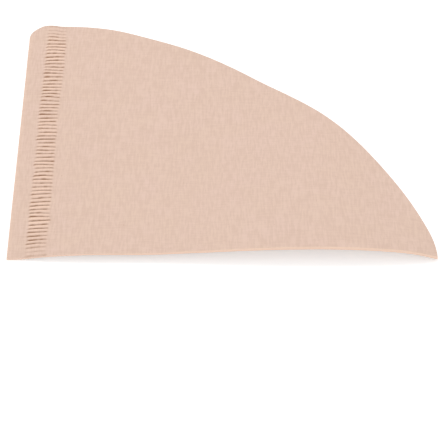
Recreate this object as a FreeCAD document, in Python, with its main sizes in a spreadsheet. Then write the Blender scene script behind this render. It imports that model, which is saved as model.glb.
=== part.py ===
import FreeCAD, Part
import Sketcher
import math
import os

# A cone-shaped paper coffee filter, folded flat as it comes out of its pack.
# The sheet is folded once, along X, and its two layers are joined by a crimped seam along Y.
# The pocket comes to its point where fold and seam meet, and opens at the curved rim.
# Millimetres, +Z up, the paper lying on Z = 0. It is drawn with the pocket's point at
# X = Y = 0, and then placed with the middle of its outline at the origin.

SIZES = {
    # the paper, and the two straight sides of the pocket
    "paper_thickness": 0.22,
    "side_length": 117.0,
    # the rim: a tighter arc beside the seam and beside the fold, a flatter one between them
    "rim_seam_radius": 54.0,
    "rim_middle_radius": 163.0,
    "rim_fold_radius": 41.0,
    # the seam: a plain margin at the edge, the crimped band, and a plain strip by the pocket
    "seam_margin": 5.6,
    "seam_corner_radius": 6.6,
    "crimp_band_width": 5.5,
    "pocket_margin": 0.2,
    # each crimp: a bar pressed up from below, with sloping flanks and ends
    "crimp_pitch": 1.8,
    "crimp_height": 0.33,
    "crimp_foot_width": 1.35,
    "crimp_crest_width": 0.5,
    "crimp_end_slope": 0.6,
    "crimp_end_margin": 0.8,
    # the room between the layers: pressed shut at the seam, and widest at the far end
    "seam_gap": 0.08,
    "fold_gap": 0.65,
    "mouth_gap": 0.7,
    # the fold arches up between its ends, and the paper settles again just past the rim
    "crown_height": 4.3,
    "crown_overreach": 5.0,
}

# Where the folded section is drawn along the fold, as a share of its length, and how high
# the fold's underside stands there, as a share of its crown: it springs up beside the stiff
# seam, levels out, and climbs to the crown. The last section lies END_TRIM past the fold's
# end, back on the surface, and the rim is cut back from it.
SECTIONS = (
    (0.0, 0.0),
    (0.1, 0.44),
    (0.22, 0.46),
    (0.36, 0.62),
    (0.5, 0.84),
    (0.62, 0.97),
    (0.72, 1.0),
    (0.82, 0.9),
    (0.91, 0.7),
)
END_TRIM = 1.0
# How far the rim's cutting outline runs clear of the paper.
CUT_ROOM = 12.0

# How a sketch numbers a curve's points and its own axes.
START, END, CENTRE = range(1, 4)
X_AXIS, Y_AXIS = range(-1, -3, -1)
ORIGIN = (X_AXIS, START)

doc = FreeCAD.newDocument("paper_coffee_filter")
sheet = doc.addObject("Spreadsheet::Sheet", "sizes")
for row, (alias, value) in enumerate(SIZES.items(), start=1):
    sheet.set(f"A{row}", str(value))
    sheet.setAlias(f"A{row}", alias)
doc.recompute()


def worked_out(formula):
    """The present value of a formula of the driving dimensions."""
    return float(sheet.evalExpression(formula))


# Formulas that more than one feature shares.
SEAM_WIDTH = "(sizes.seam_margin + sizes.crimp_band_width + sizes.pocket_margin)"
CRIMPS = "floor((sizes.side_length - 2 * sizes.crimp_end_margin) / sizes.crimp_pitch)"
FIRST_CRIMP = f"((sizes.side_length - ({CRIMPS} - 1) * sizes.crimp_pitch) / 2)"


def pair_height_at(place, gap):
    """Both layers and the room between them, which grows along the fold from nothing."""
    return f"(2 * sizes.paper_thickness + {gap} * sin(90 * {place} / sizes.side_length))"


def room_at(place, gap):
    """The room between the layers, which is the seam's own gap where the pocket begins."""
    share = f"sin(90 * {place} / sizes.side_length)"
    return f"(sizes.seam_gap + ({gap} - sizes.seam_gap) * {share})"


def origin_plane(body, role):
    """One of the body's own origin planes or axes."""
    for feature in body.Origin.OriginFeatures:
        if feature.Role == role:
            return feature
    raise RuntimeError(f"{body.Name} has no {role}")


def new_sketch(body, name, role, place=None):
    """An empty sketch on an origin plane, or at a place along that plane's normal."""
    sketch = body.newObject("Sketcher::SketchObject", name)
    sketch.AttachmentSupport = [(origin_plane(body, role), "")]
    sketch.MapMode = "FlatFace"
    if place is not None:
        sketch.setExpression("AttachmentOffset.Base.z", place)
    return sketch


def rule(sketch, kind, *parts):
    """A geometric constraint, with no size of its own."""
    sketch.addConstraint(Sketcher.Constraint(kind, *parts))


def bind(sketch, formula, kind, *parts):
    """A sized constraint that follows a formula of the driving dimensions."""
    index = sketch.addConstraint(Sketcher.Constraint(kind, *parts, worked_out(formula)))
    sketch.setExpression(f"Constraints[{index}]", formula)


def line(sketch, first, last):
    """A straight side between two points of the sketch, and its number."""
    ends = [FreeCAD.Vector(*point, 0) for point in (first, last)]
    return sketch.addGeometry(Part.LineSegment(*ends), False)


def arc(sketch, centre, radius, first, last):
    """An arc run anticlockwise between two angles in degrees, and its number."""
    circle = Part.Circle(FreeCAD.Vector(*centre, 0), FreeCAD.Vector(0, 0, 1), radius)
    return sketch.addGeometry(Part.ArcOfCircle(circle, math.radians(first), math.radians(last)), False)


def folded_section(body, name, place, rise, hollow):
    """The paper cut across its fold: a lower side, the round fold, an upper side, a far end.

    Its fold stands up by a share of the crown, rise. The hollow one is the room between the
    layers, which the same fold holds."""
    fold_height = pair_height_at(place, "sizes.fold_gap")
    mouth_height = pair_height_at(place, "sizes.mouth_gap")
    centre_across = f"({fold_height} / 2)"
    centre_up = f"({rise} * sizes.crown_height + {fold_height} / 2)"
    reach = f"sqrt((sizes.side_length + sizes.crown_overreach)^2 - {place}^2)"
    if hollow:
        fold_room = room_at(place, "sizes.fold_gap")
        mouth_room = room_at(place, "sizes.mouth_gap")
        radius = f"({fold_room} / 2)"
        far_low = f"(({mouth_height} - {mouth_room}) / 2)"
        far_high = f"(({mouth_height} + {mouth_room}) / 2)"
        reach = f"({reach} + {END_TRIM})"
    else:
        radius = f"({fold_height} / 2)"
        far_low = "0"
        far_high = mouth_height
    middle = (worked_out(centre_across), worked_out(centre_up))
    bend = worked_out(radius)
    bottom = (middle[0], middle[1] - bend)
    top = (middle[0], middle[1] + bend)
    far_bottom = (worked_out(reach), worked_out(far_low))
    far_top = (worked_out(reach), worked_out(far_high))

    sketch = new_sketch(body, name, "YZ_Plane", place)
    lower = line(sketch, far_bottom, bottom)
    fold = arc(sketch, middle, bend, 90, 270)
    upper = line(sketch, top, far_top)
    far = line(sketch, far_top, far_bottom)
    rule(sketch, "Tangent", lower, END, fold, END)
    rule(sketch, "Tangent", fold, START, upper, START)
    rule(sketch, "Coincident", upper, END, far, START)
    rule(sketch, "Coincident", far, END, lower, START)
    rule(sketch, "Vertical", far)
    bind(sketch, reach, "DistanceX", *ORIGIN, lower, START)
    if hollow:
        bind(sketch, far_low, "DistanceY", *ORIGIN, lower, START)
    else:
        rule(sketch, "PointOnObject", lower, START, X_AXIS)
    bind(sketch, far_high, "DistanceY", *ORIGIN, upper, END)
    bind(sketch, radius, "Radius", fold)
    bind(sketch, centre_across, "DistanceX", *ORIGIN, fold, CENTRE)
    bind(sketch, centre_up, "DistanceY", *ORIGIN, fold, CENTRE)
    return sketch


def folded_sections(body, kind, hollow):
    """The section drawn at each place along the fold, from the seam to just past its end."""
    stations = [(f"({share} * sizes.side_length)", rise) for share, rise in SECTIONS]
    stations.append((f"(sizes.side_length + {END_TRIM})", 0.0))
    return [
        folded_section(body, f"{kind}_{n}", place, rise, hollow)
        for n, (place, rise) in enumerate(stations)
    ]


def loft(body, kind, name, sections):
    """A loft of the body, straight from each section to the next."""
    feature = body.newObject(kind, name)
    feature.Profile = sections[0]
    feature.Sections = sections[1:]
    feature.Ruled = True
    feature.Closed = False
    return feature


def outline_cut(body):
    """What lies outside the rim and the seam's rounded corner, cut away through all the paper."""
    side = worked_out("sizes.side_length")
    seam_radius = worked_out("sizes.rim_seam_radius")
    middle_radius = worked_out("sizes.rim_middle_radius")
    fold_radius = worked_out("sizes.rim_fold_radius")
    corner = worked_out("sizes.seam_corner_radius")
    seam = worked_out(SEAM_WIDTH)
    # The end arcs' centres lie up the seam and out along the fold. Both arcs touch the middle
    # one from inside, so its centre lies the difference of their radii away from theirs.
    up, out = side - seam_radius, side - fold_radius
    span = math.hypot(out, up)
    from_seam = middle_radius - seam_radius
    from_fold = middle_radius - fold_radius
    along = (from_seam**2 - from_fold**2 + span**2) / (2 * span)
    aside = math.sqrt(from_seam**2 - along**2)
    middle = ((along * out - aside * up) / span, up - (along * up + aside * out) / span)
    fold_join = math.degrees(math.atan2(-middle[1], out - middle[0]))
    seam_join = math.degrees(math.atan2(up - middle[1], -middle[0]))

    sketch = new_sketch(body, "outline", "XY_Plane")
    rise = line(sketch, (side, -CUT_ROOM), (side, 0))
    fold_arc = arc(sketch, (out, 0), fold_radius, 0, fold_join)
    middle_arc = arc(sketch, middle, middle_radius, fold_join, seam_join)
    seam_arc = arc(sketch, (0, up), seam_radius, seam_join, 90)
    top = line(sketch, (0, side), (corner - seam, side))
    corner_arc = arc(sketch, (corner - seam, side - corner), corner, 90, 180)
    clear = line(sketch, (-seam, side - corner), (-seam - CUT_ROOM, side - corner))
    climb = line(sketch, (-seam - CUT_ROOM, side - corner), (-seam - CUT_ROOM, side + CUT_ROOM))
    over = line(sketch, (-seam - CUT_ROOM, side + CUT_ROOM), (side + CUT_ROOM, side + CUT_ROOM))
    down = line(sketch, (side + CUT_ROOM, side + CUT_ROOM), (side + CUT_ROOM, -CUT_ROOM))
    home = line(sketch, (side + CUT_ROOM, -CUT_ROOM), (side, -CUT_ROOM))
    for first, second in ((rise, fold_arc), (fold_arc, middle_arc), (middle_arc, seam_arc),
                          (seam_arc, top), (top, corner_arc)):
        rule(sketch, "Tangent", first, END, second, START)
    for first, second in ((corner_arc, clear), (clear, climb), (climb, over), (over, down),
                          (down, home), (home, rise)):
        rule(sketch, "Coincident", first, END, second, START)
    for straight in (top, clear, over, home):
        rule(sketch, "Horizontal", straight)
    for straight in (rise, climb, down):
        rule(sketch, "Vertical", straight)
    rule(sketch, "Horizontal", corner_arc, CENTRE, corner_arc, END)
    rule(sketch, "PointOnObject", fold_arc, CENTRE, X_AXIS)
    rule(sketch, "PointOnObject", seam_arc, CENTRE, Y_AXIS)
    bind(sketch, "sizes.rim_fold_radius", "Radius", fold_arc)
    bind(sketch, "sizes.rim_middle_radius", "Radius", middle_arc)
    bind(sketch, "sizes.rim_seam_radius", "Radius", seam_arc)
    bind(sketch, "sizes.seam_corner_radius", "Radius", corner_arc)
    bind(sketch, "sizes.side_length", "DistanceX", *ORIGIN, rise, END)
    bind(sketch, "sizes.side_length", "DistanceY", *ORIGIN, top, START)
    bind(sketch, SEAM_WIDTH, "DistanceX", corner_arc, END, *ORIGIN)
    bind(sketch, f"{SEAM_WIDTH} + {CUT_ROOM}", "DistanceX", climb, END, *ORIGIN)
    bind(sketch, f"sizes.side_length + {CUT_ROOM}", "DistanceY", *ORIGIN, climb, END)
    bind(sketch, f"sizes.side_length + {CUT_ROOM}", "DistanceX", *ORIGIN, down, END)
    bind(sketch, f"{CUT_ROOM}", "DistanceY", down, END, *ORIGIN)
    return sketch


def cut_through(body, name, sketch):
    """A cut of the sketch through all of the body, above and below its plane."""
    before = body.Shape.Volume
    feature = body.newObject("PartDesign::Pocket", name)
    feature.Profile = sketch
    feature.Type = "ThroughAll"
    feature.Midplane = True
    doc.recompute()
    if feature.Shape.Volume > before - 0.01:
        raise RuntimeError(f"{name} cuts nothing")
    return feature


def crimp_bar(body, kind, name, underside):
    """One crimp's raised bar or the hollow below it, a block with four sloping sides."""
    bar = body.newObject(kind, name)
    bar.AttachmentSupport = [(origin_plane(body, "XZ_Plane"), "")]
    bar.MapMode = "FlatFace"
    for corner, formula in {
        "Xmin": "-sizes.pocket_margin - sizes.crimp_band_width",
        "X2min": "-sizes.pocket_margin - sizes.crimp_band_width + sizes.crimp_end_slope",
        "Xmax": "-sizes.pocket_margin",
        "X2max": "-sizes.pocket_margin - sizes.crimp_end_slope",
        "Ymin": underside,
        "Ymax": f"{underside} + sizes.crimp_height",
        "Zmin": f"-{FIRST_CRIMP} - sizes.crimp_foot_width / 2",
        "Z2min": f"-{FIRST_CRIMP} - sizes.crimp_crest_width / 2",
        "Zmax": f"-{FIRST_CRIMP} + sizes.crimp_foot_width / 2",
        "Z2max": f"-{FIRST_CRIMP} + sizes.crimp_crest_width / 2",
    }.items():
        bar.setExpression(corner, formula)
    return bar


def row_along_seam(body, name, original):
    """The crimp repeated at its pitch along the whole seam."""
    row = body.newObject("PartDesign::LinearPattern", name)
    row.Originals = [original]
    row.Direction = (origin_plane(body, "Y_Axis"), [""])
    row.Mode = "Spacing"
    row.setExpression("Offset", "sizes.crimp_pitch")
    row.setExpression("Occurrences", CRIMPS)
    body.Tip = row
    doc.recompute()
    return row


def crimps(body):
    """The crimps: a row of bars raised on the upper side, and their hollows underneath."""
    plain = body.Shape.Volume
    bar = crimp_bar(body, "PartDesign::AdditiveWedge", "crimp_bar", "(2 * sizes.paper_thickness)")
    row_along_seam(body, "crimp_bars", bar)
    raised = body.Shape.Volume
    hollow = crimp_bar(body, "PartDesign::SubtractiveWedge", "crimp_hollow", "(0 * sizes.crimp_height)")
    row_along_seam(body, "crimp_hollows", hollow)
    if abs(body.Shape.Volume - plain) > 0.01 or raised < plain + 1:
        raise RuntimeError("the crimps' bars and hollows don't match")


def folded_sheet(name):
    """The whole filter: the seam, its crimps, the two folded layers, the pocket, the rim."""
    body = doc.addObject("PartDesign::Body", name)
    body.Label = name
    seam = body.newObject("PartDesign::Pad", "plain_seam")
    seam.Profile = folded_section(body, "seam_section", "(0 * sizes.side_length)", 0.0, False)
    seam.setExpression("Length", SEAM_WIDTH)
    seam.Reversed = True
    doc.recompute()
    crimps(body)
    loft(body, "PartDesign::AdditiveLoft", "both_layers", folded_sections(body, "outside", False))
    doc.recompute()
    loft(body, "PartDesign::SubtractiveLoft", "pocket", folded_sections(body, "inside", True))
    doc.recompute()
    cut_through(body, "rim_cut", outline_cut(body))
    body.setExpression("Placement.Base.x", f"({SEAM_WIDTH} - sizes.side_length) / 2")
    body.setExpression("Placement.Base.y", "-sizes.side_length / 2")
    doc.recompute()
    return body


paper_filter = folded_sheet("paper_filter")

for feature in doc.Objects:
    if "Invalid" in feature.State or "Error" in feature.State:
        raise RuntimeError(f"{feature.Name} did not rebuild: {feature.State}")
shape = paper_filter.Shape
if shape.isNull() or not shape.isValid() or len(shape.Solids) != 1:
    raise RuntimeError("the paper filter isn't one valid solid")

os.makedirs("parts", exist_ok=True)
shape.exportStep(os.path.join("parts", paper_filter.Label + ".step"))
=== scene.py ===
import math

import bpy
import numpy as np
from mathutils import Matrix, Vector


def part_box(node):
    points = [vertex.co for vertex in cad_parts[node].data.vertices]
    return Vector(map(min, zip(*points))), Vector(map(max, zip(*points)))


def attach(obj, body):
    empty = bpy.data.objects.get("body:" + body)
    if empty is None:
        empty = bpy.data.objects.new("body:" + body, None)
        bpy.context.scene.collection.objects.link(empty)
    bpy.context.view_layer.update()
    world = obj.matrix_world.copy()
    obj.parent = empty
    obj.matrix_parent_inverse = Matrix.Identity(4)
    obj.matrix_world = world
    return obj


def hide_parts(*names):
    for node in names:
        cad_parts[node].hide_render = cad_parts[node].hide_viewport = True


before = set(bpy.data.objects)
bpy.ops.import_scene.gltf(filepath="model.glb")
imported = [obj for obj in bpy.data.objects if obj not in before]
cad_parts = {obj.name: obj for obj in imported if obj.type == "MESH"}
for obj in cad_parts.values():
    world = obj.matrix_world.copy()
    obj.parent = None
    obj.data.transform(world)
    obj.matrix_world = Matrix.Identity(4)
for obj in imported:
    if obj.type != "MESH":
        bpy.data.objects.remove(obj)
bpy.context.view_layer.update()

# A cone-shaped paper coffee filter, folded flat, as one closed sheet of creped paper.
# Lengths are in millimetres and turned to metres when the mesh is made. The shape is drawn
# with the pocket's point at X = Y = 0, the fold along X and the seam along Y, and is then
# moved to where the frame's node lies.

NODE = "paper_filter"

# The sheet's sizes, as the frame's node has them.
SIDE = 117.0            # the pocket's point to the rim, along the fold and along the seam
SEAM = 11.3             # the plain margin's edge to the pocket
BAND_OUT = -5.65        # the crimped band's X at the margin,
BAND_IN = 0.2           # and beside the pocket
BAND_DRIFT = 0.5        # how much nearer the pocket the band runs at its far end
CORNER = 6.6            # radius of the margin's rounded corner
SEAM_ARC = 54.0         # radius of the rim beside the seam,
MIDDLE_ARC = 163.0      # in its middle,
FOLD_ARC = 41.0         # and beside the fold
PAPER = 0.22            # the sheet's thickness
FOLD_GAP = 0.65         # room between the layers at the fold's far end,
MOUTH_GAP = 0.70        # and at the rim beside it
OVERREACH = 5.0         # the sheet would settle on the surface this far past the rim
PITCH = 1.8             # from crimp to crimp
CRIMPS = 64
CRIMP_HEIGHT = 0.33

# How high the fold's underside stands along the fold: it lies on its margin, springs up
# beside the stiff crimps, levels out and arches up to its crown.
FOLD_RISE = (
    (-12, 0), (-8, 0.08), (-5, 0.4), (-2, 0.9), (2, 1.35), (8, 1.72), (14, 1.98), (20, 2.02), (28, 1.98),
    (35, 2.2), (41, 2.6), (48, 2.95), (58, 3.6), (66, 3.98), (73, 4.2), (82, 4.36), (90, 4.18),
    (98, 3.8), (104, 3.25), (109, 2.6), (113, 1.75), (117, 0.3),
)
# The rim's rises and dips: degrees from the fold, width in degrees, share of their full height.
RIM_WAVES = ((8, 7, -0.6), (33, 10, 1.0), (52, 5.5, -0.75), (69, 7, 0.4), (80, 4, 0.25))
RIM_RISE = 0.7          # how high a full rise lifts the lower layer,
RIM_OPENS = 1.1         # and the share by which it opens the room between the layers
# Where the rim's middle is drawn in a little: degrees from the fold, width in degrees, depth.
RIM_DRAWN_IN = (54, 7, 0.55)

# How far the paper is from even and flat elsewhere.
CORNER_CURL = 0.45      # how high the seam's far corner curls up
DROOP = 0.45            # share of its height that the sheet loses near the fold's far end
SWAY = 0.10             # how far the free paper sways up and down
BOW = 0.3               # share by which the room between the layers varies
LIPS = 0.10             # how far the margin's layers part at its edge,
LIPS_UNEVEN = 0.07      # and how far that varies
BAND_UNEVEN = 0.15      # how far the band's two edges wander,
ROWS_UNEVEN = 0.16      # and how far the crimps' lines do
GROOVE_BITE = 0.07      # how much thinner a full groove makes the paper

# How strongly the crimps are pressed, as shares.
FAINT_NEAR = 0.25       # at the fold,
FAINT_FAR = 0.15        # at the far end,
FAINT_PAST = 0.15       # and in the ripples just past the band

# How finely it is drawn.
ROWS_A_CRIMP = 10
ROWS = round(SIDE / PITCH * ROWS_A_CRIMP)      # along the seam, 0.18 mm apart
COARSE = 5              # fine rows of the seam to one ring of the pocket
RINGS = ROWS // COARSE
RAYS = 76               # from the seam round to the fold
FOLD_STEPS = 8          # round the bend of the fold
MARGIN_COLUMNS = 9
PARTED_COLUMNS = 7      # those in which the margin's two layers lie apart
BAND_COLUMNS = 24
FINE_FROM = BAND_OUT - 0.6      # X where the band's even columns start,
FINE_TO = 1.6                   # and where they end
POINT = 2.2             # X of the point from which the pocket's rays run
CUT_ANGLE = 58          # edges that turn by more degrees than this stay sharp

# The lowest point lies this high, so that the paper shares no face with the table.
CLEAR_OF_TABLE = 0.01

# Painted highlights, on the scale of the crimps' tone, from 1 in a groove to -1 on a crest: the paper is
# painted paler along the fold's bend and at its cut edge, where they catch the light.
FOLD_PAINTED_HIGHLIGHT = -0.7
EDGE_PAINTED_HIGHLIGHT = -0.5

# The lamps' power in watts, the strength of the even light all round, and of the glow that
# lifts the table to white where it is seen.
KEY_POWER = 7.6
FRONT_POWER = 4.0
ROUND_LIGHT = 0.6
TABLE_GLOW = 0.38

# Where the camera stands and the point that it looks at, in metres, and its lens, fitted to the
# sheet's three corners.
CAMERA_PLACE = (0.00134, -0.59643, 0.47928)
CAMERA_TARGET = (-0.00064, -0.03984, 0.0)
LENS = 198.0


def waves(x, y, length, seed, count=14):
    """Smooth unevenness, about -1 to 1: the sum of cosines in many directions over the root of
    their number, each with a wavelength near the given one."""
    draw = np.random.default_rng(seed)
    turn = draw.uniform(0, 2 * math.pi, count)
    start = draw.uniform(0, 2 * math.pi, count)
    rate = 2 * math.pi / (length * draw.uniform(0.7, 1.6, count))
    x, y = np.broadcast_arrays(np.asarray(x, float), np.asarray(y, float))
    along = x[..., None] * np.cos(turn) + y[..., None] * np.sin(turn)
    return np.cos(along * rate + start).sum(-1) / math.sqrt(count)


def ease(value, start=0, over=1):
    """0 up to start and 1 from start + over on, with a smooth rise between them: the square of
    the way, times 3 less twice the way."""
    way = np.clip((value - start) / over, 0, 1)
    return way * way * (3 - 2 * way)


def bell(value, middle, width, power=2):
    """1 at the middle, falling off on both sides as e to minus the distance in widths, raised
    to the power."""
    return np.exp(-(((value - middle) / width) ** power))


def fade(distance, within):
    """1 up to no distance, and falling off past it as e to minus the distance over within."""
    return np.exp(-np.clip(distance, 0, None) / within)


def rim_points():
    """The rim from the seam to the fold: an arc about a point on the seam, the flatter middle
    arc, and an arc about a point on the fold. The middle arc touches both from outside, so its
    centre is as far from theirs as the radii differ. The points lie under 0.1 mm apart."""
    up = SIDE - SEAM_ARC
    out = SIDE - FOLD_ARC
    span = math.hypot(out, up)
    from_seam = MIDDLE_ARC - SEAM_ARC
    from_fold = MIDDLE_ARC - FOLD_ARC
    along = (from_seam**2 - from_fold**2 + span**2) / (2 * span)
    aside = math.sqrt(from_seam**2 - along**2)
    x = (along * out - aside * up) / span
    y = up - (along * up + aside * out) / span
    seam_join = math.atan2(up - y, -x)
    fold_join = math.atan2(-y, out - x)
    arcs = (
        (0, up, SEAM_ARC, np.linspace(math.pi / 2, seam_join, 400)),
        (x, y, MIDDLE_ARC, np.linspace(seam_join, fold_join, 1600)),
        (out, 0, FOLD_ARC, np.linspace(fold_join, 0, 400)),
    )
    rim_x = [centre + radius * np.cos(turn) for centre, _, radius, turn in arcs]
    rim_y = [centre + radius * np.sin(turn) for _, centre, radius, turn in arcs]
    return np.concatenate(rim_x), np.concatenate(rim_y)


RIM_X, RIM_Y = rim_points()


def seam_top(x):
    """The seam's far end: round the margin's corner, then level, then along the rim's first arc.
    The corner is a quarter circle: a point stands above its centre by the root of the radius
    squared less the square of X from that centre."""
    corner = np.sqrt(np.clip(CORNER**2 - (x + SEAM - CORNER) ** 2, 0, None))
    level = np.where(x > 0, np.interp(x, RIM_X, RIM_Y), SIDE)
    return np.where(x < CORNER - SEAM, SIDE - CORNER + corner, level)


def fold_rise(x):
    """FOLD_RISE joined by straight lines, and smoothed by a mean over 4 mm to each side, whose
    weights are a bell 2 mm wide."""
    places, rises = np.array(FOLD_RISE, float).T
    offsets = np.linspace(-4, 4, 25)
    weights = bell(offsets, middle=0, width=2)
    near = np.interp(np.asarray(x, float)[..., None] + offsets, places, rises)
    return (near * weights).sum(-1) / weights.sum()


def opening(x, gap):
    """The room between the layers: nothing at the seam, and gap at the fold's far end, growing
    as a quarter of a sine wave."""
    return gap * np.sin(math.pi / 2 * np.clip(x, 0, SIDE) / SIDE)


def fold_middle(x):
    """Half the folded pair's height at the fold, which is also how far in the bend's centre is."""
    return PAPER + opening(x, FOLD_GAP) / 2


def beside_fold(x, y):
    """Moves points on the fold's line in to where the bend begins, others by the square of the
    share that they are short of 6 mm, and none beyond it."""
    return y + fold_middle(x) * np.clip(1 - y / 6, 0, 1) ** 2


def rim_wave(x, y):
    """The rim's rises and dips: a bell for each, round the pocket's point, growing towards the
    rim as the fifth power of the distance from the point. The seam has none."""
    turn = np.degrees(np.arctan2(y, np.maximum(x, 0.01)))
    wave = sum(share * bell(turn, place, width) for place, width, share in RIM_WAVES)
    return wave * np.clip(np.hypot(x, y) / SIDE, 0, 1.1) ** 5 * (x > 0)


def heights(x, y):
    """The outer heights of the lower and the upper layer.

    The lower one falls in a straight line from the fold to the surface, just past the rim.
    Beside the stiff seam it falls sooner, as e to minus the distance from the fold over 26 mm,
    and near the fold's far end the sheet droops below the line. To that come the seam's far
    corner, which curls up as a flat-topped bell, the rim's waves, and a slow sway of the free
    paper. The upper layer lies two papers and the room between them above it. The room goes
    over from the fold's to the mouth's, bows slowly, and closes where the rim dips."""
    middle = fold_middle(x)
    reach = np.sqrt((SIDE + OVERREACH) ** 2 - np.clip(x, 0, None) ** 2)
    past = np.clip(y - middle, 0, None)
    across = np.clip(past / (reach - middle), 0, 1)
    free_of_seam = ease(x, start=-2, over=18)
    hold = free_of_seam + (1 - free_of_seam) * fade(past, within=26)
    droop = 1 - DROOP * ease(x, start=88, over=22) * ease(past, over=14) * (1 - across)
    arch = fold_rise(x) * (1 - across) * hold * droop
    curl = CORNER_CURL * bell(x, middle=-5.2, width=3.2, power=4) * ease(y, start=104, over=13)
    rim = rim_wave(x, y)
    free = ease(x, start=-1, over=30) * ease(y, over=25)
    sway = SWAY * free * (1 + waves(x, y, length=62, seed=3))
    lower = arch + curl + sway * np.clip(1 + rim, 0, 1) + np.clip(rim, 0, None) * RIM_RISE
    bow = np.clip(1 + BOW * free * waves(x, y, length=48, seed=8), 0.5, 1.6)
    room = (opening(x, FOLD_GAP) * (1 - across) + opening(x, MOUTH_GAP) * across) * bow
    room = room * np.clip(1 + RIM_OPENS * rim, 0.1, 1.5)
    return lower, lower + 2 * PAPER + room


def from_crimp_to_crimp(row, spread, seed):
    """A random value for each groove, with straight lines between them."""
    values = np.random.default_rng(seed).normal(0, spread, CRIMPS + 1)
    return np.interp(row / ROWS_A_CRIMP - 0.5, np.arange(CRIMPS + 1), values)


def crimp_height_and_painted_light(x, row):
    """How high the crimps stand over the plain seam, and their painted shade and highlight: 1 in a
    groove, which the crimping wheel pushed in hardest and which is painted darker as shade, and -1 on a
    crest, which is painted paler as a highlight.

    A crest is broad and its groove narrow: the height falls as the 2.4th power of the way
    from crest to groove. The groove's painted shade grows as the square of that way and is
    uneven in spots, and the crest's painted highlight falls nearly in a straight line. Each
    crimp has its own depth, length and tone. The first and the last few are faint, and faint
    ripples run on past the band."""
    way = row / ROWS_A_CRIMP
    crest = np.clip(np.round(way), 1, CRIMPS)
    away = np.clip(np.abs(way - crest) * 2, 0, 1)
    place = row / ROWS * SIDE

    faint_near = FAINT_NEAR + (1 - FAINT_NEAR) * ease(place, over=12)
    faint_far = FAINT_FAR + (1 - FAINT_FAR) * ease(SIDE - place, over=11)
    drift = BAND_DRIFT * ease(place, start=60, over=50)
    out_uneven = from_crimp_to_crimp(row, spread=0.16, seed=1)
    out_end = BAND_OUT + drift + out_uneven + BAND_UNEVEN * waves(0, place, length=40, seed=2)
    in_uneven = from_crimp_to_crimp(row, spread=0.13, seed=3)
    in_end = BAND_IN + drift + in_uneven + BAND_UNEVEN * waves(0, place, length=35, seed=4)

    # The press eases off over a crimp's two ends, and is a fifth weaker beside the pocket.
    inside = ease(x - out_end, start=-0.495, over=0.9) * ease(in_end - x, start=-0.455, over=0.7)
    beyond = fade(BAND_OUT - x, within=0.8) * fade(x - BAND_IN, within=0.9)
    beside_pocket = 1 - 0.2 * ease(x, start=-2.5, over=2)
    depth = 1 + from_crimp_to_crimp(row, spread=0.09, seed=5) + 0.10 * waves(x, place, length=5, seed=6)
    strength = faint_near * faint_far * ((1 - FAINT_PAST) * inside + FAINT_PAST * beyond)
    strength = strength * np.clip(depth, 0.6, 1.25) * beside_pocket
    height = CRIMP_HEIGHT * strength * (1 - away**2.4)

    # Painted shade in the grooves, uneven in spots, and a painted highlight on the crests.
    spots = np.clip(waves(x * 1.3, place * 1.7, length=3.2, seed=7), -0.6, 1.3)
    pale = 0.85 + from_crimp_to_crimp(row, spread=0.16, seed=8)
    tone = strength * (away**2 * (1.1 + 0.6 * spots) - pale * (1 - away) ** 1.1)
    return height, np.clip(tone, -1, 1)


def seam_places():
    """The seam's X by columns, its rows, how far along the seam each row lies, and its Y.

    The columns start close together at the margin's edge, as one less a cosine, and are even
    across the band. The rows are even, but over the last 9 mm they close up to the seam's far
    end, and across the band they wander a little, as pressed paper does."""
    from_edge = 1 - np.cos(np.linspace(0, math.pi / 2, MARGIN_COLUMNS))
    margin = (FINE_FROM + SEAM) * from_edge
    band = np.linspace(FINE_FROM, FINE_TO, BAND_COLUMNS)
    x = np.concatenate([margin - SEAM, band[1:]])[:, None]
    row = np.arange(ROWS + 1)[None, :].astype(float)
    even = row / ROWS * SIDE
    closing = 9
    last = SIDE - closing
    y = np.where(even > last, last + (even - last) / closing * (seam_top(x) - last), even)
    inner = ease(x + SEAM, over=3) * ease(FINE_TO - x, over=1.2)
    inner = inner * ease(even, over=5) * ease(SIDE - even, over=5)
    y = y + ROWS_UNEVEN * inner * waves(x * 0.8, even * 1.3, length=9, seed=12)
    return x, row, even, beside_fold(x, y)


def margin_gap(x, even):
    """How far the two layers of the plain margin part: an uneven width at its edge, down to
    nothing in a straight line at the last parted column. It starts at the fold over 9 mm."""
    root = x[PARTED_COLUMNS - 1, 0]
    lips = LIPS + LIPS_UNEVEN * waves(0, even, length=30, seed=31)
    from_fold = np.minimum(1, 0.02 + even / 9)
    gap = np.clip(lips, 0.04, None) * (root - x) / (root + SEAM) * from_fold
    gap = np.clip(gap, 0, None)
    gap[:, 0] = 0
    return gap


def pocket_places():
    """The pocket's X and Y by rays and rings: rays turn evenly from the seam to the fold, and
    rings cut each in even steps from the point to the rim. The bell of RIM_DRAWN_IN shortens
    those to the rim's middle."""
    turn = np.linspace(math.pi / 2, 0, RAYS + 1)[:, None]
    share = np.arange(RINGS + 1)[None, :] / RINGS
    rim_turn = np.arctan2(RIM_Y, RIM_X - POINT)
    rim_reach = np.hypot(RIM_X - POINT, RIM_Y)
    # The rim's points run from the seam on, so their order is turned round to be looked up by
    # a turn that grows. Those before the first ray aren't needed.
    kept = RIM_X >= POINT - 0.5
    reach = np.interp(turn, rim_turn[kept][::-1], rim_reach[kept][::-1])
    place, width, depth = RIM_DRAWN_IN
    reach = reach - depth * bell(np.degrees(turn), place, width)
    x = POINT + share * reach * np.cos(turn)
    return x, beside_fold(x, share * reach * np.sin(turn))


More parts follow.
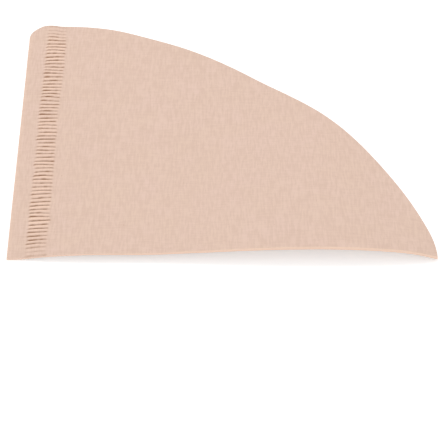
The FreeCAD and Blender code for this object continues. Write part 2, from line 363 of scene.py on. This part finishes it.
class Shell:
    """Points, triangles and welds gathered patch by patch."""

    def __init__(self):
        self.points = []
        self.press = []
        self.triangles = []
        self.welds = []
        self.count = 0

    def add(self, x, y, z, press=0.0):
        """Adds an array of points and gives back the array of their numbers."""
        x, y, z, press = np.broadcast_arrays(x, y, z, press)
        self.points.append(np.stack([x, y, z], -1).reshape(-1, 3))
        self.press.append(press.ravel())
        numbers = np.arange(self.count, self.count + x.size).reshape(x.shape)
        self.count += x.size
        return numbers

    def cover(self, triangles, outwards):
        """Adds triangles, turned over unless they face outwards."""
        self.triangles.append(triangles if outwards else triangles[:, ::-1])

    def skin(self, numbers, outwards=True):
        """Two triangles for each cell of a grid of point numbers. They face the side from which
        the grid's first direction turns anticlockwise into its second."""
        a, b = numbers[:-1, :-1], numbers[1:, :-1]
        d, c = numbers[:-1, 1:], numbers[1:, 1:]
        first = np.stack([a, b, c], -1).reshape(-1, 3)
        second = np.stack([a, c, d], -1).reshape(-1, 3)
        self.cover(np.concatenate([first, second]), outwards)

    def strip(self, first, second, outwards=True):
        """A skin one cell wide, between two lines of point numbers."""
        self.skin(np.stack([first, second], 1), outwards)

    def step_down(self, fine, coarse, outwards=True):
        """Joins a line of fine points to one with a point for every COARSE of them. The first
        half of the fine steps fans out from the near coarse point, the rest from the far one,
        and one triangle between the two fans closes the cell."""
        cells = len(coarse) - 1
        steps = fine[:-1].reshape(cells, COARSE)
        nexts = fine[1:].reshape(cells, COARSE)
        half = COARSE // 2
        low, high = coarse[:-1, None], coarse[1:, None]
        apex = np.where(np.arange(COARSE)[None] < half, low, high)
        fans = np.stack([nexts, steps, apex], -1).reshape(-1, 3)
        between = np.stack([steps[:, half], coarse[:-1], coarse[1:]], -1)
        self.cover(np.concatenate([fans, between]), outwards)

    def weld(self, these, to):
        """These points become the same as the others."""
        these, to = np.broadcast_arrays(these, to)
        self.welds.append(np.stack([these.ravel(), to.ravel()], -1))

    def finished(self):
        """Welded points, their painted shade and highlight, and the triangles on them, without those
        that a weld left empty or back to back."""
        same = np.arange(self.count)
        for these, to in (pairs.T for pairs in self.welds):
            same[these] = same[to]
        # A point may be welded to one that is itself welded on, up to three times over.
        for _ in range(3):
            same = same[same]
        triangles = same[np.concatenate(self.triangles)]
        a, b, c = triangles.T
        triangles = triangles[(a != b) & (b != c) & (c != a)]
        corners = np.sort(triangles, 1)
        _, kind, times = np.unique(corners, axis=0, return_inverse=True, return_counts=True)
        triangles = triangles[times[kind.ravel()] == 1]
        used, triangles = np.unique(triangles, return_inverse=True)
        points = np.concatenate(self.points)[used]
        press = np.concatenate(self.press)[used]
        return points, press, triangles.reshape(-1, 3)


def folded_sheet_shell():
    """The folded sheet as one closed shell of paper PAPER thick: both outer skins, the bend of
    the fold, the pocket's inner skins, the parted margin, and the cut edges between them."""
    shell = Shell()

    # The seam's two outer skins, with the crimps and their painted shade and highlight.
    x, row, even, y = seam_places()
    lower, upper = heights(x, y)
    raised, tone = crimp_height_and_painted_light(x, row)
    lower = lower + raised
    upper = upper + raised - GROOVE_BITE * np.clip(tone, 0, 1)
    # A painted highlight along the margin's cut edge, where it catches the light.
    tone = tone + EDGE_PAINTED_HIGHLIGHT * fade(x + SEAM, within=0.5)
    gap = margin_gap(x, even)
    upper = upper + gap
    seam_upper = shell.add(x, y, upper, tone)
    seam_lower = shell.add(x, y, lower, tone)
    shell.skin(seam_upper)
    shell.skin(seam_lower, outwards=False)

    # The inner skins of the parted margin, and its cut edges.
    parted = slice(PARTED_COLUMNS)
    inner_up = shell.add(x[parted], y[parted], (lower + PAPER + gap)[parted])
    inner_low = shell.add(x[parted], y[parted], (lower + PAPER)[parted])
    shell.weld(inner_low[-1], inner_up[-1])
    shell.weld(inner_low[:, 0], inner_up[:, 0])
    shell.skin(inner_up, outwards=False)
    shell.skin(inner_low)
    shell.strip(inner_up[0], seam_upper[0], outwards=False)
    shell.strip(seam_lower[0], inner_low[0], outwards=False)

    # The pocket's outer and inner skins, closed at its point, and its cut rim.
    x2, y2 = pocket_places()
    lower2, upper2 = heights(x2, y2)
    skins = [shell.add(x2, y2, z) for z in (upper2, upper2 - PAPER, lower2 + PAPER, lower2)]
    pocket_upper, inner_upper, inner_lower, pocket_lower = skins
    for skin in skins:
        shell.weld(skin[:, 0], skin[0, 0])
    shell.weld(inner_lower[0], inner_upper[0])
    for skin, outwards in zip(skins, (True, False, True, False)):
        shell.skin(skin, outwards)
    shell.strip(pocket_upper[:, -1], inner_upper[:, -1])
    shell.strip(inner_lower[:, -1], pocket_lower[:, -1])

    # The seam's fine rows meet the pocket's rings.
    shell.step_down(seam_upper[-1], pocket_upper[0])
    shell.step_down(seam_lower[-1], pocket_lower[0], outwards=False)

    # The seam's far end, cut across both layers, up to the rim's first point.
    rest = slice(PARTED_COLUMNS, None)
    middle = shell.add(x[rest, 0], y[rest, -1], lower[rest, -1] + PAPER)
    end_up = np.concatenate([inner_up[:, -1], middle, inner_upper[:1, -1]])
    end_low = np.concatenate([inner_low[:, -1], middle, inner_lower[:1, -1]])
    shell.strip(np.append(seam_upper[:, -1], pocket_upper[0, -1]), end_up)
    shell.strip(end_low, np.append(seam_lower[:, -1], pocket_lower[0, -1]))

    # The fold: half circles about fold_middle, from the upper skins round to the lower ones.
    bend = np.linspace(math.pi / 2, -math.pi / 2, FOLD_STEPS + 1)[None, :]

    def bend_between(along, highs, lows, upper_line, lower_line):
        """Half circles in Y and Z, whose radius is half the height between the two skins. The
        first and the last points are welded to the skins."""
        centre = (highs + lows) / 2
        radius = (highs - lows) / 2
        inset = fold_middle(along)
        # The bend's points carry the fold's painted highlight.
        points = shell.add(
            along[:, None],
            inset[:, None] - radius[:, None] * np.cos(bend),
            centre[:, None] + radius[:, None] * np.sin(bend),
            FOLD_PAINTED_HIGHLIGHT,
        )
        shell.weld(points[:, 0], upper_line)
        shell.weld(points[:, -1], lower_line)
        return points

    outer_bend = bend_between(
        np.concatenate([x[:, 0], x2[-1]]),
        np.concatenate([upper[:, 0], upper2[-1]]),
        np.concatenate([lower[:, 0], lower2[-1]]),
        np.concatenate([seam_upper[:, 0], pocket_upper[-1]]),
        np.concatenate([seam_lower[:, 0], pocket_lower[-1]]),
    )
    shell.skin(outer_bend, outwards=False)
    inner_bend = bend_between(
        x2[-1], upper2[-1] - PAPER, lower2[-1] + PAPER, inner_upper[-1], inner_lower[-1]
    )
    shell.weld(inner_bend[0], inner_upper[0, 0])
    shell.skin(inner_bend)
    shell.strip(outer_bend[-1], inner_bend[-1])
    shell.strip(np.full(FOLD_STEPS + 1, inner_up[0, 0]), outer_bend[0])
    return shell.finished()


def set_values(target, name, values):
    """Gives each item of the target its value from a whole array."""
    target.foreach_set(name, np.ascontiguousarray(values).ravel())


def mesh_piece(name, points, triangles, press):
    """A piece from whole arrays of points and triangles, smooth but for its cut edges."""
    mesh = bpy.data.meshes.new(name)
    mesh.vertices.add(len(points))
    mesh.loops.add(triangles.size)
    mesh.polygons.add(len(triangles))
    set_values(mesh.vertices, "co", points.astype(np.float32))
    set_values(mesh.loops, "vertex_index", triangles.astype(np.int32))
    set_values(mesh.polygons, "loop_start", np.arange(0, triangles.size, 3, dtype=np.int32))
    mesh.update(calc_edges=True)
    # Each point's painted shade, above 0, and painted highlight, below 0, for the material.
    pressed = mesh.attributes.new("pressed", "FLOAT", "POINT")
    set_values(pressed.data, "value", press.astype(np.float32))
    mesh.validate()
    mesh.shade_smooth()
    mesh.set_sharp_from_angle(angle=math.radians(CUT_ANGLE))
    piece = bpy.data.objects.new(name, mesh)
    bpy.context.scene.collection.objects.link(piece)
    return piece


def linear(hex_colour):
    """An sRGB hex colour as linear red, green, blue and full alpha. A part, from 0 to 1, is
    divided by 12.92 where it is small. Otherwise 0.055 is added, the sum is divided by 1.055,
    and that is raised to the power of 2.4."""
    parts = [int(hex_colour[i:i + 2], 16) / 255 for i in (0, 2, 4)]
    return tuple(c / 12.92 if c <= 0.04045 else ((c + 0.055) / 1.055) ** 2.4 for c in parts) + (1.0,)


def add_node(tree, kind, inputs=None, **settings):
    """One node, its settings, and its inputs: a value, or (node, output) for a link."""
    node = tree.nodes.new(kind)
    for name, value in settings.items():
        setattr(node, name, value)
    for name, value in (inputs or {}).items():
        if isinstance(value, tuple) and len(value) == 2 and isinstance(value[0], bpy.types.Node):
            tree.links.new(value[0].outputs[value[1]], node.inputs[name])
        else:
            node.inputs[name].default_value = value
    return node


def empty_material(name):
    """A new material with no nodes in it yet."""
    material = bpy.data.materials.new(name)
    material.use_nodes = True
    material.node_tree.nodes.clear()
    return material


def unbleached_creped_paper():
    """Unbleached filter paper: long-fibred pulp, creped off its drying cylinder and never
    coated. It gives the eye an even pinkish tan, quite matt, with a faint cross-grain of short
    strokes and a few darker fibres. Painted shade darkens the crimps' grooves, and painted
    highlights pale their crests, the fold and the cut edge."""
    material = empty_material("unbleached_creped_paper")
    tree = material.node_tree
    place = add_node(tree, "ShaderNodeTexCoord")

    # Three noises, each with the size of its cells along the fold and along the seam in
    # millimetres. All are 3.3 mm high. Object coordinates are metres, so 1000 over a size is
    # the scale that gives it.
    grains = []
    for fold_size, seam_size in ((0.55, 4.2), (3.6, 0.6), (0.45, 1.2)):
        stretched = add_node(
            tree, "ShaderNodeMapping",
            {"Vector": (place, "Object"), "Scale": (1000 / fold_size, 1000 / seam_size, 300)},
        )
        grain = add_node(
            tree, "ShaderNodeTexNoise",
            {"Vector": (stretched, "Vector"), "Scale": 1.0, "Detail": 1.5},
        )
        grains.append(grain)
    seam_grain, fold_grain, fibre_grain = grains

    # Crepe strokes along the seam and fainter ones along the fold, about 0.3 mm wide and 2 mm
    # long, which is half a cell of their noise. The real crepe is finer still, and is drawn as
    # coarse as it needs to show.
    along_seam = add_node(
        tree, "ShaderNodeMapRange",
        {"Value": (seam_grain, "Fac"), "From Min": 0.36, "From Max": 0.64},
    )
    along_fold = add_node(
        tree, "ShaderNodeMapRange",
        {"Value": (fold_grain, "Fac"), "From Min": 0.36, "From Max": 0.64, "To Max": 0.6},
    )
    strokes = add_node(
        tree, "ShaderNodeMath",
        {0: (along_seam, "Result"), 1: (along_fold, "Result")},
        operation="ADD",
    )
    tone = add_node(
        tree, "ShaderNodeMapRange",
        {"Value": (strokes, "Value"), "From Min": 0.2, "From Max": 1.4},
    )
    # Clouds in the pulp about 9 mm across, a little pinker or yellower.
    clouds = add_node(
        tree, "ShaderNodeTexNoise",
        {"Vector": (place, "Object"), "Scale": 110.0, "Detail": 2.0},
    )
    cloud = add_node(
        tree, "ShaderNodeMapRange",
        {"Value": (clouds, "Fac"), "From Min": 0.32, "From Max": 0.68},
    )
    # Sparse fibres and specks, about a quarter of a millimetre wide.
    fibre = add_node(
        tree, "ShaderNodeMapRange",
        {"Value": (fibre_grain, "Fac"), "From Min": 0.72, "From Max": 0.80, "To Max": 0.35},
    )
    # Painted light on one scale: painted shade in a groove above 0, and below it a painted highlight on
    # the crests, along the fold and at the cut edge.
    pressed = add_node(tree, "ShaderNodeAttribute", attribute_name="pressed")
    groove_painted_shade = add_node(tree, "ShaderNodeMapRange", {"Value": (pressed, "Fac"), "From Max": 1.0})
    painted_highlight_share = add_node(tree, "ShaderNodeMapRange", {"Value": (pressed, "Fac"), "From Max": -1.0})

    # In a Mix node for colours these are the share, the two colours, and the mixed colour.
    share, first, second, mixed = 0, 6, 7, 2
    pulp = add_node(
        tree, "ShaderNodeMix",
        {share: (cloud, "Result"), first: linear("E5C9B7"), second: linear("E6C9BA")},
        data_type="RGBA",
    )
    creped = add_node(
        tree, "ShaderNodeMix",
        {share: (tone, "Result"), first: linear("DDC0AF"), second: (pulp, mixed)},
        data_type="RGBA",
    )
    specked = add_node(
        tree, "ShaderNodeMix",
        {share: (fibre, "Result"), first: (creped, mixed), second: linear("B98F72")},
        data_type="RGBA",
    )
    # Painted shade in the grooves, then painted highlights on the crests, the fold and the cut edge.
    groove_shaded = add_node(
        tree, "ShaderNodeMix",
        {share: (groove_painted_shade, "Result"), first: (specked, mixed), second: linear("A67C60")},
        data_type="RGBA",
    )
    colour = add_node(
        tree, "ShaderNodeMix",
        {share: (painted_highlight_share, "Result"), first: (groove_shaded, mixed), second: linear("F6D5BF")},
        data_type="RGBA",
    )

    # The strokes and a felt of fibres a quarter of a millimetre apart stand up by some
    # hundredths of a millimetre.
    felt = add_node(
        tree, "ShaderNodeTexNoise",
        {"Vector": (place, "Object"), "Scale": 4200.0, "Detail": 3.0},
    )
    nap = add_node(
        tree, "ShaderNodeMapRange",
        {"Value": (felt, "Fac"), "From Min": 0.3, "From Max": 0.7, "To Max": 0.8},
    )
    relief = add_node(
        tree, "ShaderNodeMath",
        {0: (tone, "Result"), 1: (nap, "Result")},
        operation="ADD",
    )
    bump = add_node(
        tree, "ShaderNodeBump",
        {"Height": (relief, "Value"), "Strength": 0.35, "Distance": 0.00004},
    )
    shader = add_node(
        tree, "ShaderNodeBsdfPrincipled",
        {
            "Base Color": (colour, mixed),
            "Roughness": 0.92,
            "IOR": 1.45,
            "Specular IOR Level": 0.25,
            "Normal": (bump, "Normal"),
        },
    )
    add_node(tree, "ShaderNodeOutputMaterial", {"Surface": (shader, "BSDF")})
    return material


def seen_rays(tree):
    """1 for a ray from the camera, or one that gloss or glass sends on, and 0 for the others."""
    rays = add_node(tree, "ShaderNodeLightPath")
    seen = add_node(
        tree, "ShaderNodeMath",
        {0: (rays, "Is Camera Ray"), 1: (rays, "Is Glossy Ray")},
        operation="MAXIMUM",
    )
    return add_node(
        tree, "ShaderNodeMath",
        {0: (seen, "Value"), 1: (rays, "Is Transmission Ray")},
        operation="MAXIMUM",
    )


def studio_table():
    """A matt white table, 8 m square. What the camera sees of it is lifted to white, but for
    the shadow."""
    material = empty_material("matt_white_table")
    tree = material.node_tree
    matt = add_node(tree, "ShaderNodeBsdfDiffuse", {"Color": linear("F4F4F4")})
    lift = add_node(
        tree, "ShaderNodeMath",
        {0: (seen_rays(tree), "Value"), 1: TABLE_GLOW},
        operation="MULTIPLY",
    )
    glow = add_node(
        tree, "ShaderNodeEmission",
        {"Color": linear("FFFFFF"), "Strength": (lift, "Value")},
    )
    both = add_node(tree, "ShaderNodeAddShader", {0: (matt, "BSDF"), 1: (glow, "Emission")})
    add_node(tree, "ShaderNodeOutputMaterial", {"Surface": (both, "Shader")})
    mesh = bpy.data.meshes.new("table")
    half = 4.0
    corners = [(-half, -half, 0), (half, -half, 0), (half, half, 0), (-half, half, 0)]
    mesh.from_pydata(corners, [], [(0, 1, 2, 3)])
    mesh.materials.append(material)
    table = bpy.data.objects.new("table", mesh)
    bpy.context.scene.collection.objects.link(table)
    return table


def aim(thing, target):
    """Turns a lamp or the camera to look at a point."""
    thing.rotation_euler = (Vector(target) - thing.location).to_track_quat("-Z", "Y").to_euler()


def soft_lamp(name, place, size, power):
    """A square lamp that looks at the filter; metres and watts."""
    lamp = bpy.data.lights.new(name, "AREA")
    lamp.shape = "SQUARE"
    lamp.size = size
    lamp.energy = power
    holder = bpy.data.objects.new(name, lamp)
    bpy.context.scene.collection.objects.link(holder)
    holder.location = place
    aim(holder, (0, 0, 0))


def studio_light():
    """A soft lamp above and behind, a weaker one in front, and even light all round, which the
    camera sees as white."""
    soft_lamp("soft_lamp", place=(-0.35, 0.75, 1.05), size=0.9, power=KEY_POWER)
    soft_lamp("front_lamp", place=(0.3, -1.0, 0.5), size=0.7, power=FRONT_POWER)
    world = bpy.data.worlds.new("studio")
    bpy.context.scene.world = world
    world.use_nodes = True
    tree = world.node_tree
    tree.nodes.clear()
    level = add_node(
        tree, "ShaderNodeMapRange",
        {"Value": (seen_rays(tree), "Value"), "To Min": ROUND_LIGHT, "To Max": 1.0},
    )
    air = add_node(
        tree, "ShaderNodeBackground",
        {"Color": linear("FFFFFF"), "Strength": (level, "Result")},
    )
    add_node(tree, "ShaderNodeOutputWorld", {"Surface": (air, "Background")})


def product_camera():
    """A long lens about 0.73 m away, looking down at 41 degrees along the seam."""
    lens = bpy.data.cameras.new("camera")
    lens.sensor_width = 36.0
    lens.lens = LENS
    lens.clip_start = 0.01
    lens.clip_end = 20.0
    camera = bpy.data.objects.new("camera", lens)
    bpy.context.scene.collection.objects.link(camera)
    camera.location = CAMERA_PLACE
    aim(camera, CAMERA_TARGET)
    bpy.context.scene.camera = camera


low_corner = np.array(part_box(NODE)[0]) * 1000
points, pressed, triangles = folded_sheet_shell()
points = points + [low_corner[0] + SEAM, low_corner[1], 0]
points[:, 2] += CLEAR_OF_TABLE - points[:, 2].min()
paper = mesh_piece("folded_filter", points / 1000, triangles, pressed)
paper.data.materials.append(unbleached_creped_paper())
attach(paper, "root")
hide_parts(NODE)
table = studio_table()
studio_light()
product_camera()
bpy.context.scene.view_settings.view_transform = "Standard"
